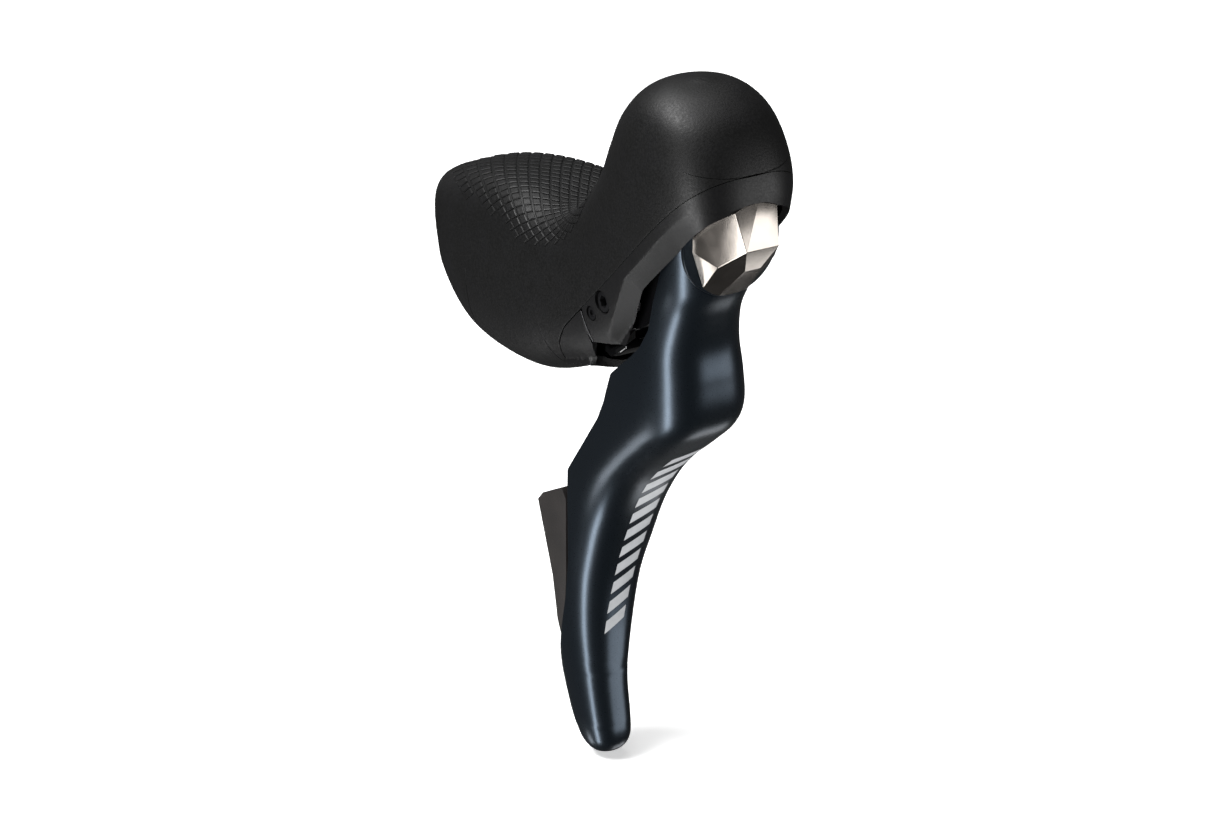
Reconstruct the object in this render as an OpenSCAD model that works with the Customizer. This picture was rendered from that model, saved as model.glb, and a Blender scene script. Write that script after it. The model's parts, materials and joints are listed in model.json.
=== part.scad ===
// Right-hand brake shift lever for a drop handlebar, hydraulic brake and cable shift.
// Origin: centre of the handlebar clamp. +X forward, +Y to the rider's left, +Z up. Millimetres.

/* [Handlebar clamp] */
// Diameter of the handlebar
bar_d = 24; // [23.8:0.1:26]
// Lean of the handlebar from upright, its lower end forward, in degrees
bar_lean = 40; // [36:1:44]
// Width of the clamp band along the bar
band_w = 9; // [7:0.5:11]
// Thickness of the clamp band
band_t = 1; // [0.8:0.1:1.2]

/* [Body] */
// Width of the grip over the rubber hood
hood_w = 36; // [35:0.5:43]
// Thickness of the rubber hood
hood_t = 2; // [1.6:0.1:2.4]
// Height of the horn's top above the handlebar's centre
horn_top = 76.5; // [75:0.5:84]
// Wall of the hard front frame
frame_t = 2.6; // [2.2:0.1:2.8]

/* [Brake] */
// Diameter of the lever axle
axle_d = 5; // [4:0.1:6]
// Full pull of the brake lever, in degrees
brake_pull = 14; // [10:1:14]
// Bore of the master cylinder
piston_d = 8.6; // [7:0.1:9.4]
// Wall of the cylinder sleeve
sleeve_t = 1.4; // [1.1:0.1:1.7]

/* [Levers] */
// Diameter of the side-swing spindle
spindle_d = 6; // [5:0.1:7]
// Drop of the blade's tip below the middle of the lever's head
blade_drop = 145.5; // [122:1:176]
// Width of the blade at its broadest
blade_w = 23; // [19:0.5:25]
// Wall of the hollow blade
blade_t = 2.2; // [1.8:0.1:2.6]

/* [Shift unit] */
// Radius of the cable drum's groove
drum_r = 8; // [6.6:0.1:8.2]
// Number of ratchet teeth round the whole wheel
ratchet_teeth = 20; // [16:1:24]
// Diameter of the gear cable's casing
casing_d = 4; // [4:0.5:5]

/* [Hidden] */
gap = 0.15;       // between still pieces that sit together
run = 0.05;       // radial clearance of a running fit
move_gap = 0.5;   // between pieces that move past each other
far = 200;        // longer than anything in the part
ring_n = 32;      // points round a lofted ring
$fn = 40;
bar_r = bar_d / 2;
half_w = hood_w / 2;
axle_r = axle_d / 2;
spindle_r = spindle_d / 2;
piston_r = piston_d / 2;

// ---- Places ----
axle_x = 73.5;
axle_z = 19.5;
head_z = 41.5;             // middle of the lever's head
swing_z = 38.5;            // axis of the side swing
unit_z = 11.5;
push_arm = 17;             // from the lever axle to the push rod
cyl_tilt = 40;             // master cylinder above level
push_x = axle_x - push_arm * sin(cyl_tilt);
push_z = axle_z + push_arm * cos(cyl_tilt);
sleeve_r = piston_d / 2 + sleeve_t;
sleeve_start = 9;          // along the cylinder from the push rod's foot
sleeve_end = 43;
bay_w = 12.1;              // half width of the space the yoke moves in
yoke_w = 9.6;              // half width of the yoke's hub

// ---- Helpers ----
module slab(outline, y0, y1) {
    translate([0, y1, 0]) rotate([90, 0, 0]) linear_extrude(y1 - y0) polygon(outline);
}
module along_y(r, y0, y1, x, z) {
    translate([x, y0, z]) rotate([-90, 0, 0]) cylinder(h = y1 - y0, r = r);
}
module along_x(r, x0, x1, y = 0, z = 0) {
    translate([x0, y, z]) rotate([0, 90, 0]) cylinder(h = x1 - x0, r = r);
}
// Local +Z runs up along the handlebar and local +X points ahead of it.
module on_bar() { rotate([0, -bar_lean, 0]) children(); }
// Local +Z runs up the master cylinder from the push rod's foot.
module on_cylinder() { translate([push_x, 0, push_z]) rotate([0, 90 - cyl_tilt, 0]) children(); }
// Local XY is the shift unit's plane, local +Z points ahead along its spindle.
module on_unit(x) { translate([x, 0, unit_z]) rotate([90, 0, 90]) children(); }
module bar_space(extra) { on_bar() translate([0, 0, -far / 2]) cylinder(h = far, r = bar_r + extra,
    $fn = 60); }

function mix(a, b, f) = a + (b - a) * f;
function spline(a, b, c, d, f) =
    0.5 * (2 * b + (c - a) * f + (2 * a - 5 * b + 4 * c - d) * f * f + (3 * b - a - 3 * c + d) * f
        * f * f);
function smooth(rows, sub) = let (last = len(rows) - 1) concat(
    [for (i = [0 : last - 1], j = [0 : sub - 1])
        spline(rows[max(i - 1, 0)], rows[i], rows[i + 1], rows[min(i + 2, last)], j / sub)],
            [rows[last]]);
function signed_power(v, p) = sign(v) * pow(abs(v), p);
// A row is [upper x, upper z, lower x, lower z, near y, far y, squareness] of one oval section.
// The lower half may be rounder than the upper one.
function section(r, under) = [for (i = [0 : ring_n - 1])
    let (a = 360 * i / ring_n, q = cos(a) < -0.0001 ? min(r[6], under) : r[6],
         u = signed_power(cos(a), 2 / q), v = signed_power(sin(a), 2 / q))
    [mix(r[2], r[0], (1 + u) / 2), mix(r[4], r[5], (1 + v) / 2), mix(r[3], r[1], (1 + u) / 2)]];
module loft(rows, under = 9) {
    n = ring_n;
    points = [for (r = rows) each section(r, under)];
    ends = [[for (i = [n - 1 : -1 : 0]) i], [for (i = [0 : n - 1]) (len(rows) - 1) * n + i]];
    sides = [for (k = [0 : len(rows) - 2], i = [0 : n - 1])
        let (a = k * n + i, b = k * n + (i + 1) % n) each [[a, b, a + n], [b, b + n, a + n]]];
    polyhedron(points, concat(ends, sides), convexity = 6);
}
// A coil of round wire along local +Z.
module coil(r, wire, height, turns) {
    steps = turns * 14;
    sides = 6;
    points = [for (k = [0 : steps], i = [0 : sides - 1])
        let (a = 360 * turns * k / steps, s = 360 * i / sides, q = r + wire * cos(s))
        [q * cos(a), q * sin(a), wire + (height - 2 * wire) * k / steps + wire * sin(s)]];
    faces = concat([[for (i = [0 : sides - 1]) i]], [[for (i = [sides - 1 : -1 : 0]) steps * sides + i]],
        [for (k = [0 : steps - 1], i = [0 : sides - 1])
            let (a = k * sides + i, b = k * sides + (i + 1) % sides) each [[b, a, a + sides], [b,
                a + sides, b + sides]]]);
    polyhedron(points, faces, convexity = 10);
}

// ---- Outer form of the body: grip, then round into the horn ----
usual_half_w = 18;
usual_top = 76.5;
side = half_w - usual_half_w;
rise = horn_top - usual_top;
body_rows = [
    [-12, 24.5, -12, -9.5, -16.2 - side, 16.2 + side, 3.2],
    [2, 29.2, 2, -13.2, -17.2 - side, 17.2 + side, 3.4],
    [16, 32, 18, -15.2, -17.9 - side, 17.9 + side, 3.6],
    [30, 33, 36, -13.5, -18 - side, 18 + side, 3.9],
    [42, 31.6, 52, -7, -17.7 - side, 17.7 + side, 3.2],
    [51, 35, 68, -1.5, -16.9 - side, 16.9 + side, 3],
    [58, 43, 88, 11, -16.6 - side, 16.6 + side, 2.9],
    [62.5, 50, 104, 29, -17 - side, 17 + side, 2.7],
    [66, 58 + rise * 0.3, 111.5, 45, -17.7 - side, 17.7 + side, 2.4],
    [70, 66 + rise * 0.7, 112.3, 57 + rise * 0.4, -17.4 - side, 17.4 + side, 2.2],
    [75.5, 72 + rise, 107.5, 68.5 + rise, -14.6 - side, 14.6 + side, 2.1],
    [82, 75.4 + rise, 100, 74.4 + rise, -9.3, 9.3, 2],
    [88.5, 76.5 + rise, 92, 76.4 + rise, -2, 2, 2]];
function inset_row(r, d) = let (lx = r[2] - r[0], lz = r[3] - r[1], l = sqrt(lx * lx + lz * lz),
    k = min(d, l * 0.4) / l,
    w = min(d, (r[5] - r[4]) * 0.4))
    [r[0] + lx * k, r[1] + lz * k, r[2] - lx * k, r[3] - lz * k, r[4] + w, r[5] - w, r[6]];
// The last rows close the dome, so an inset form also drops there.
function inset_rows(d) = [for (i = [0 : len(body_rows) - 1])
    let (r = inset_row(body_rows[i], d), drop = i > 9 ? d : i > 8 ? d * 0.4 : 0)
    [r[0], r[1] - drop, r[2], r[3] - drop, r[4], r[5], r[6]]];
module body_form(d) { loft(smooth(inset_rows(d), 2), 2.7); }
// Side view of the region that the hood covers, ahead to its seam with the front frame.
seam = [[122, 70.2], [111.1, 59.7], [64.6, 15], [57.1, 7.8], [53.4, 2.5], [49, -8], [46, -30]];
module behind_seam(back) {
    slab(concat([for (p = seam) [p[0] - back, p[1] + back]], [[-40, -30], [-40, 120], [122, 120]]),
        -40, 40);
}
frame_outline = [[64.6, 15], [111.1, 59.7], [121, 69.2], [122, 60], [114.3, 54], [98.3, 37.6], [87.2,
    26.8], [78.2, 9.4],
                 [67.4, 7]];
panel_outline = [[64.2, 14.5], [57.1, 7.8], [53.4, 2.5], [49, -8], [47, -14], [60, -14], [66.6, 6.6]];
// Side view of the space that the yoke and the levers move in.
bay_roof = sleeve_r + 0.9; // below the master cylinder's axis
function ahead_of_push(along, below) = [push_x + along * cos(cyl_tilt) + below * sin(cyl_tilt),
    push_z + along * sin(cyl_tilt) - below * cos(cyl_tilt)];
bay_outline = [[60.4, 21], [56.6, 31], [57.6, 38], ahead_of_push(sleeve_start - 0.4, -bay_roof),
    ahead_of_push(sleeve_start - 0.4, bay_roof),
    ahead_of_push(sleeve_end + 1, bay_roof), [104, 54.6], [125, 54.6], [125, -30], [60.6, -30]];

// ---- Body pieces ----
ear_r = 8.6;               // the bracket's ears round the lever axle
ear_w = half_w - 4.8;
module hood_cover() color([0.14, 0.14, 0.15]) difference() {
    intersection() {
        body_form(0);
        behind_seam(0.05);
        // The rear rim follows the handlebar's front on top and reaches back on both sides.
        slab([[-9, 24], [-5.6, 17], [-1.8, 5], [6.2, -5], [12, -12], [14.5, -30], [130, -30], [130,
            120], [-9, 120]], -40, 40);
    }
    body_form(hood_t);
    bar_space(0.6);
}
// The bracket's own form, under the hood.
module bracket_form() intersection() {
    union() {
        body_form(hood_t + gap);
        // Ears stand ahead of the seam, inside the front frame.
        along_y(ear_r, -ear_w, ear_w, axle_x, axle_z);
    }
    union() {
        behind_seam(0.3);
        intersection() {
            body_form(frame_t + gap);
            along_y(ear_r, -ear_w, ear_w, axle_x, axle_z);
        }
    }
}
module bracket_body() color([0.2, 0.2, 0.21]) difference() {
    bracket_form();
    on_bar() translate([0, 0, -saddle_half]) cylinder(h = 2 * saddle_half, r = bar_r, $fn = 60);
    on_bar() translate([0, 0, -far / 2]) cylinder(h = far / 2 - saddle_half, r = bar_r + 1.2, $fn = 60);
    // Rear end: level with the front half of the bar, and low enough for the hose and the casing to leave.
    on_bar() translate([-far + 2, -far / 2, -far / 2]) cube([far, far, far]);
    on_bar() translate([-far + 24, -far / 2, hose_mouth]) cube([far, far, far]);
    slab(bay_outline, -bay_w, bay_w);
    along_x(unit_space_r, unit_x0, unit_x1, 0, unit_z);
    // The unit goes in from below.
    translate([unit_x0, -unit_space_r, -40]) cube([unit_x1 - unit_x0, 2 * unit_space_r, 40 + unit_z]);
    // Room for the gear cable from the drum to the casing stop.
    on_bar() translate([port_n, -port_y, -24]) cylinder(h = 32, r = 1.6);
    on_cylinder() translate([0, 0, 0]) cylinder(h = sleeve_end + gap, r = sleeve_r + gap);
    along_y(axle_r, -far / 2, far / 2, axle_x, axle_z);
    along_y(axle_r + 1.5, clip_y - 0.2, clip_y + 1, axle_x, axle_z);
    // Reservoir over the cylinder, and its two ports.
    translate([lid_x, 0, reservoir_floor]) lozenge(lid_l - 7, 9, lid_top - reservoir_floor + 20);
    translate([lid_x, 0, lid_top - lid_t - diaphragm_t]) lozenge(lid_l + 2 * gap, lid_w + 2 * gap, 30);
    translate([lid_x - 4, 0, reservoir_floor - 8]) cylinder(h = 10, r = 0.8);
    for (s = [-1, 1]) translate([lid_x + s * lid_screw_x, 0, lid_top - 9]) cylinder(h = 20, r = 0.85);
    on_bar() {
        // Ports for the brake hose and for the casing stop.
        translate([port_n, port_y, hose_mouth - 8]) cylinder(h = 30, r = hose_nut_r);
        translate([port_n, -port_y, hose_mouth - 8]) cylinder(h = 30, r = stop_r);
        // Slots for the clamp band's legs and a pocket for its nut.
        for (s = [-1, 1]) translate([0, s * (bar_r + band_t / 2) - (band_t / 2 + gap), -band_w / 2 - gap])
            cube([band_reach + gap, band_t + 2 * gap, band_w + 2 * gap]);
        translate([band_reach - band_t - 4.6, -bar_r - band_t - gap, -band_w / 2 - gap])
            cube([band_t + 4.6 + gap, 2 * (bar_r + band_t + gap), band_w + 2 * gap]);
        translate([band_reach - 3, 0, 0]) rotate([0, 90, 0]) cylinder(h = 20, r = 2.2);
        translate([band_reach + 4, 0, 0]) rotate([0, 90, 0]) cylinder(h = 20, r = 4.4);
    }
    along_x(1.6, 53, 64, 0, reach_z);
    along_x(2.9, 59, 64, 0, reach_z);
}
module front_frame() color([0.22, 0.22, 0.23]) difference() {
    intersection() {
        body_form(0);
        slab(frame_outline, -40, 40);
    }
    body_form(frame_t);
    along_y(axle_r + gap, -40, 40, axle_x, axle_z);
    along_y(axle_head_r + gap, -40, -axle_face + 0.8, axle_x, axle_z);
    along_y(axle_r + 1.5, clip_y - 0.2, 40, axle_x, axle_z);
    along_y(plug_r + 0.05, -40, -plug_face + 1.1, plug_x, plug_z);
    // The swinging blade needs the space between the two cheeks.
    slab(bay_outline, -bay_w - 0.6, bay_w + 0.6);
}
module lower_panel() color([0.17, 0.17, 0.18]) difference() {
    intersection() {
        body_form(0.1);
        slab([for (p = panel_outline) [p[0] + 0.2, p[1]]], -40, 40);
    }
    body_form(2.2);
    slab([[60.6, 30], [60.6, -40], [90, -40], [90, 30]], -bay_w - 0.6, bay_w + 0.6);
}
// Glossy cover under the yoke's hub, between the two cheeks.
module under_cover() color([0.05, 0.05, 0.06]) difference() {
    slab([[60.9, 18], [61.2, 4], [63.4, 2.2], [66.5, 1.6], [70, 3.2], [74, 6.4], [73, 7.8], [69, 5.6],
        [66.2, 4], [64.4, 4.4],
          [63.2, 5.6], [62.8, 18]], -bay_w + 2.2, bay_w - 2.2);
    along_y(yoke_hub_r + move_gap, -far / 2, far / 2, axle_x, axle_z);
}

// ---- Handlebar clamp ----
band_reach = 20.5;         // outer face of the band's cross plate, ahead of the bar's axis
module clamp_band() color([0.75, 0.75, 0.77]) on_bar() translate([0, 0, -band_w / 2]) difference() {
    union() {
        cylinder(h = band_w, r = bar_r + band_t, $fn = 60);
        translate([0, -bar_r - band_t, 0]) cube([band_reach, 2 * (bar_r + band_t), band_w]);
    }
    translate([0, 0, -1]) cylinder(h = band_w + 2, r = bar_r, $fn = 60);
    translate([0, -bar_r, -1]) cube([band_reach - band_t, 2 * bar_r, band_w + 2]);
    translate([0, 0, band_w / 2]) rotate([0, 90, 0]) cylinder(h = 40, r = 2.3);
}
module clamp_nut() color([0.55, 0.55, 0.57]) on_bar() difference() {
    translate([band_reach - band_t - gap - 4, -5, -3.6]) cube([4, 10, 7.2]);
    translate([0, 0, 0]) rotate([0, 90, 0]) cylinder(h = 40, r = 2);
}
module clamp_bolt() color([0.35, 0.35, 0.37]) on_bar() difference() {
    union() {
        translate([band_reach - 5.5, 0, 0]) rotate([0, 90, 0]) cylinder(h = 10, r = 2);
        translate([band_reach + 4 + gap, 0, 0]) rotate([0, 90, 0]) cylinder(h = 3.6, r = 4.1);
    }
    translate([band_reach + 5.6, 0, 0]) rotate([0, 90, 0]) cylinder(h = 5, r = 2.4, $fn = 6);
}

// ---- Lever axle ----
axle_head_r = axle_r;
axle_face = half_w - 2;    // outer end of the axle from the middle
clip_y = half_w - 4.5;     // where the clip sits in its groove
plug_x = 68.7;
plug_z = 15;
plug_r = 1.6;
plug_face = half_w - 1.8;
module lever_axle() color([0.1, 0.1, 0.1]) difference() {
    union() {
        along_y(axle_r, -axle_face + 0.9, axle_face - 0.4, axle_x, axle_z);
        along_y(axle_head_r, -axle_face, -axle_face + 0.9, axle_x, axle_z);
    }
    translate([axle_x, -axle_face - 1, axle_z]) rotate([-90, 0, 0]) cylinder(h = 3, r = 1.6, $fn = 6);
    difference() {
        along_y(axle_r + 1, clip_y, clip_y + 0.8, axle_x, axle_z);
        along_y(axle_r - 0.5, clip_y - 1, clip_y + 2, axle_x, axle_z);
    }
}
module axle_clip() color([0.3, 0.3, 0.32]) difference() {
    along_y(axle_r + 1.3, clip_y + 0.1, clip_y + 0.7, axle_x, axle_z);
    along_y(axle_r - 0.45, clip_y - 1, clip_y + 2, axle_x, axle_z);
    translate([axle_x - 1.4, clip_y - 1, axle_z - 10]) cube([2.8, 3, 10]);
}
module axle_plug() color([0.08, 0.08, 0.08]) difference() {
    along_y(plug_r, -plug_face, -plug_face + 1, plug_x, plug_z);
    along_y(0.9, -plug_face - 1, -plug_face + 0.5, plug_x, plug_z);
}

// ---- Master cylinder ----
piston_start = 13;         // along the cylinder
seal_groove = 1.6;
rod_pocket_r = piston_r - seal_groove - 0.6;
rod_r = rod_pocket_r - 0.6;
module cylinder_sleeve() color([0.7, 0.7, 0.72]) on_cylinder() difference() {
    translate([0, 0, sleeve_start]) cylinder(h = sleeve_end - sleeve_start, r = sleeve_r);
    translate([0, 0, sleeve_start - 1]) cylinder(h = sleeve_end - sleeve_start - 1.5, r = piston_r);
    // Ports to the reservoir and to the hose.
    for (z = [sleeve_end - 11, sleeve_end - 5]) translate([0, 0, z]) rotate([0, -90,
        0]) cylinder(h = 20, r = 0.5);
}
module master_piston() color([0.6, 0.6, 0.55]) on_cylinder() difference() {
    translate([0, 0, piston_start]) rotate_extrude() polygon([[0, 0], [piston_r - run, 0],
        [piston_r - run, 1.6],
        [piston_r - seal_groove, 1.6], [piston_r - seal_groove, 3.6], [piston_r - run, 3.6],
            [piston_r - run, 9.4], [piston_r - seal_groove, 9.4],
        [piston_r - seal_groove, 11.4], [piston_r - run, 11.4], [piston_r - run, 12.4], [1.6, 12.4],
            [1.6, 14.4], [0, 14.4]]);
    translate([0, 0, piston_start - 1]) cylinder(h = 5, r = rod_pocket_r);
}
module cup_seal(z) color([0.1, 0.1, 0.1]) on_cylinder() translate([0, 0, piston_start + z])
    rotate_extrude() polygon([[piston_r - seal_groove, 0.1], [piston_r - 0.15, 0.1], [piston_r - 0.03,
        1.9], [piston_r - 0.7, 1.9],
        [piston_r - 1, 0.9], [piston_r - seal_groove, 0.9]]);
module secondary_cup() cup_seal(1.6);
module primary_cup() cup_seal(9.4);
push_nose = 2;
push_start = 0.35;         // free stroke between the nose and the yoke
module push_rod() color([0.72, 0.72, 0.74]) on_cylinder() {
    translate([0, 0, push_start + push_nose]) sphere(r = push_nose);
    translate([0, 0, push_start + push_nose]) cylinder(h = piston_start + 3.9 - push_start - push_nose,
        r = rod_r);
}
module piston_spring() color([0.6, 0.6, 0.62]) on_cylinder() translate([0, 0, piston_start + 12.5])
    coil(2.9, 0.4, sleeve_end - 2.6 - piston_start - 12.5, 6);

// ---- Reservoir ----
lid_x = 88.5;
lid_l = 19;
lid_w = 13;
lid_t = 1.6;
lid_top = horn_top - 7.2;
lid_screw_x = 7;
diaphragm_t = 1;
reservoir_floor = lid_top - 8;
module lozenge(l, w, h) {
    translate([-(l - w) / 2, -w / 2, 0]) cube([l - w, w, h]);
    for (s = [-1, 1]) translate([s * (l - w) / 2, 0, 0]) cylinder(h = h, r = w / 2);
}
module reservoir_diaphragm() color([0.08, 0.08, 0.08]) difference() {
    translate([lid_x, 0, lid_top - lid_t - diaphragm_t]) union() {
        lozenge(lid_l, lid_w, diaphragm_t - 0.02);
        translate([0, 0, -2]) lozenge(lid_l - 8, 8, 2.1);
    }
    for (s = [-1, 1]) translate([lid_x + s * lid_screw_x, 0, 0]) cylinder(h = far, r = 1);
    translate([lid_x, 0, 0]) cylinder(h = far, r = 2.6);
}
module reservoir_lid() color([0.16, 0.16, 0.17]) difference() {
    translate([lid_x, 0, lid_top - lid_t]) lozenge(lid_l, lid_w, lid_t);
    for (s = [-1, 1]) translate([lid_x + s * lid_screw_x, 0, 0]) cylinder(h = far, r = 1);
    translate([lid_x, 0, 0]) cylinder(h = far, r = 2.05);
}
module lid_screws() color([0.55, 0.55, 0.57]) for (s = [-1, 1]) translate([lid_x + s * lid_screw_x, 0,
    0]) difference() {
    union() {
        translate([0, 0, lid_top - 8]) cylinder(h = 8, r = 0.8);
        translate([0, 0, lid_top]) cylinder(h = 1, r = 1.6);
    }
    translate([0, 0, lid_top + 0.5]) cylinder(h = 2, r = 0.8, $fn = 6);
}
module bleed_screw() color([0.5, 0.5, 0.52]) translate([lid_x, 0, 0]) difference() {
    union() {
        translate([0, 0, lid_top - 4]) cylinder(h = 5, r = 2);
        translate([0, 0, lid_top + 0.9]) cylinder(h = 1.2, r = 3.2);
    }
    translate([0, 0, lid_top + 1]) cylinder(h = 4, r = 1.3, $fn = 6);
}
module bleed_oring() color([0.06, 0.06, 0.06]) translate([lid_x, 0, lid_top + 0.46])
    rotate_extrude() translate([2.5, 0]) circle(r = 0.42, $fn = 24);

// ---- Hose and casing ports, ahead of the bar ----
hose_nut_r = 3.9;
stop_r = casing_d / 2 + 0.9;
hose_r = 2.5;
port_y = 7.4;
port_n = sqrt(pow(bar_r + 1.4 + hose_nut_r, 2) - port_y * port_y);
hose_mouth = 13.4;
saddle_half = hose_mouth; // half the length along which the bracket bears on the bar
module hose_nut() color([0.2, 0.2, 0.21]) on_bar() translate([port_n, port_y, 0]) difference() {
    union() {
        translate([0, 0, hose_mouth - 5.4]) cylinder(h = 5.9, r = hose_nut_r - gap / 2);
        translate([0, 0, hose_mouth + 0.2]) cylinder(h = 3.2, r = 4.3, $fn = 6);
    }
    translate([0, 0, hose_mouth - 10]) cylinder(h = 30, r = hose_r + 0.1);
}
module hose_olive() color([0.78, 0.62, 0.3]) on_bar() translate([port_n, port_y,
    hose_mouth - 7.9]) difference() {
    cylinder(h = 2.4, r = hose_nut_r - 0.4);
    translate([0, 0, -1]) cylinder(h = 5, r = hose_r + 0.1);
}
module cable_stop() color([0.7, 0.7, 0.72]) on_bar() translate([port_n, -port_y, 0]) difference() {
    union() {
        translate([0, 0, hose_mouth - 7.8]) cylinder(h = 8, r = stop_r - gap / 2);
        translate([0, 0, hose_mouth + 0.1]) cylinder(h = 1.2, r = stop_r + 0.7);
    }
    translate([0, 0, hose_mouth - 6.8]) cylinder(h = 30, r = casing_d / 2 + 0.1);
    translate([0, 0, hose_mouth - 9]) cylinder(h = 5, r = 0.8);
}

// ---- Brake yoke ----
yoke_hub_r = 7.6;
head_x0 = 87.5;
head_x1 = 92.5;            // front face of the yoke's head
head_r = 5.6;
reach_z = 23.5;
push_dx = sin(cyl_tilt);
push_dz = cos(cyl_tilt);
function push_point(along, ahead) = [axle_x - along * push_dx + ahead * push_dz, axle_z + along
    * push_dz + ahead * push_dx];
module lever_yoke() color([0.06, 0.06, 0.07]) difference() {
    union() {
        along_y(yoke_hub_r, -yoke_w, yoke_w, axle_x, axle_z);
        slab([[axle_x - 2, axle_z + yoke_hub_r - 0.6], [78, 30], [head_x0, 39], [head_x1, 39],
            [head_x1, 30.5], [88, 24.5],
              [84.5, 16.5], [79, 13.2], [axle_x + 2, axle_z - yoke_hub_r + 0.4]], -yoke_w, yoke_w);
        along_x(head_r, head_x0, head_x1, 0, swing_z);
        translate([head_x0, -head_r, 32]) cube([head_x1 - head_x0, 2 * head_r, swing_z - 32]);
        // Arm whose flat face pushes the rod.
        slab([push_point(0, 0), push_point(push_arm + 3, 0), push_point(push_arm + 3, -3),
            push_point(4, -7.4)], -4, 4);
    }
    along_y(axle_r + 1.2, -far / 2, far / 2, axle_x, axle_z);
    along_x(spindle_r, head_x0 - 1, head_x1 + 1, 0, swing_z);
    // Pocket for the return spring, round the axle.
    along_y(6.2, -yoke_w - 1, -yoke_w + 4.4, axle_x, axle_z);
}
module yoke_bushes() color([0.75, 0.6, 0.3]) for (y = [[-yoke_w + 4.6, -1], [1, yoke_w]]) difference() {
    along_y(axle_r + 1.2 - 0.02, y[0], y[1], axle_x, axle_z);
    along_y(axle_r + run, y[0] - 1, y[1] + 1, axle_x, axle_z);
}
module lever_spring() color([0.6, 0.6, 0.62]) translate([axle_x, -yoke_w + 0.2, axle_z]) rotate([-90,
    0, 0])
    coil(axle_r + 2.2, 0.45, 4, 3);
module reach_screw() color([0.5, 0.5, 0.52]) difference() {
    union() {
        along_x(1.5, 54.6, 60, 0, reach_z);
        along_x(2.4, 59.4, 60.8, 0, reach_z);
    }
    along_x(0.9, 53, 56, 0, reach_z, $fn = 6);
}
spindle_end = 105.2;       // front of the swing spindle
screw_end = 107.2;         // front of the screw under the cap
module swing_spindle() color([0.72, 0.72, 0.74]) difference() {
    along_x(spindle_r - 0.01, head_x0, spindle_end, 0, swing_z);
    along_x(1.3, spindle_end - 8, spindle_end + 1, 0, swing_z);
}
// Faceted cap over the head's front.
cap_x0 = 103.6;
// The rim is an octagon and the front has three flats, one above and two below a level crease.
module cap_form() {
    rim_r = 12.9;
    rim = [for (a = [0 : 45 : 315]) [cap_x0, rim_r * sin(a + 22.5), head_z - 0.2 + rim_r
        * cos(a + 22.5)]];
    front = [for (s = [-1, 1]) each [[112, s * 7, 52], [115.2, s * 6.2, 44.4], [109.5, s * 5, 32.5]]];
    hull() for (p = concat(rim, front)) translate(p) cube(0.02, center = true);
}
module head_cap() color([0.78, 0.77, 0.75]) difference() {
    cap_form();
    along_x(spindle_r + run, cap_x0 - 1, screw_end + 0.4, 0, swing_z);
}
module cap_screw() color([0.76, 0.75, 0.73]) difference() {
    union() {
        along_x(1.25, spindle_end - 7, spindle_end + 0.2, 0, swing_z);
        along_x(spindle_r - 0.2, spindle_end + 0.05, screw_end, 0, swing_z);
    }
    along_x(1.3, screw_end - 1.2, screw_end + 4, 0, swing_z, $fn = 6);
}

// ---- Brake blade ----
eye_x0 = 98;
eye_x1 = 103.1;
eye_r = 12;
fixed_drop = 65;           // above this the blade keeps its shape when its drop changes
usual_drop = 145.5;        // the drop that the rows below are drawn for
function drop_z(d) = d < fixed_drop ? head_z - d : head_z - fixed_drop - (d - fixed_drop)
    * (blade_drop - fixed_drop) / (usual_drop - fixed_drop);
usual_w = 23;
widen = blade_w / usual_w;
// [drop below the head's middle, front x, rear x, outer y, inner y, squareness]
blade_shape = [
    [6, 103.1, 98, -11, 11, 2.6],
    [13, 102.4, 95, -10.6, 10.4, 2.8],
    [20, 98.6, 88, -10.6, 9.8, 3],
    [29, 95.4, 78, -11.4, 10.8, 3.2],
    [38, 94.8, 68, -12.2, 12.4, 3.2],
    [46, 94.4, 62, -12.6, 13.2, 3.2],
    [52, 92.2, 59, -12.6, 13, 3.2],
    [58, 86.4, 55, -12.6, 12.4, 3.2],
    [65.5, 78, 50, -12.6, 11.3, 3.2],
    [73, 71.2, 46, -12.7, 11, 3.1],
    [82, 66, 44, -12.9, 9.8, 3],
    [92, 62.8, 44, -13.2, 7.9, 2.9],
    [102, 61, 44, -13.6, 5.2, 2.8],
    [114, 61.6, 45.5, -14.2, 1.9, 2.6],
    [126, 64.6, 48.5, -15, -2, 2.5],
    [136, 68, 53.6, -15, -4, 2.4],
    [142.5, 68.2, 57.6, -14, -4.8, 2.2],
    [145.5, 66.4, 60, -12.4, -6.4, 2]];
// Side view of all that lies behind the blade's outer cheek, and behind its shallow inner one.
behind_outer = [[84, 60], [90, 33], [88.6, 24], [86.6, 16], [83.4, 10.8], [70.8, -0.4], [68.1, -8.3],
    [65.2, -14], [51.5, -32.6],
    [51.7, -38], [52.8, drop_z(98)], [52.3, drop_z(108)], [50.2, drop_z(122.5)], [55.5, drop_z(136.5)],
        [57, drop_z(160)], [20, drop_z(160)],
    [20, 60]];
behind_inner = [[92.5, 60], [91.5, 30], [88, 20], [85.6, 8], [83.6, -2], [79, -14], [70, -24], [61,
    -33], [56.5, -41],
    [54.4, drop_z(98)], [53, drop_z(108)], [50.2, drop_z(122.5)], [20, drop_z(122.5)], [20, 60]];
function blade_row(r, wall, back) = let (z = drop_z(r[0]), c = (r[3] + r[4]) / 2,
    h = (r[4] - r[3]) / 2 * widen - wall)
    [r[1] - wall * 1.25, z, r[2] - back, z, c - h, c + h, r[5]];
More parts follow.
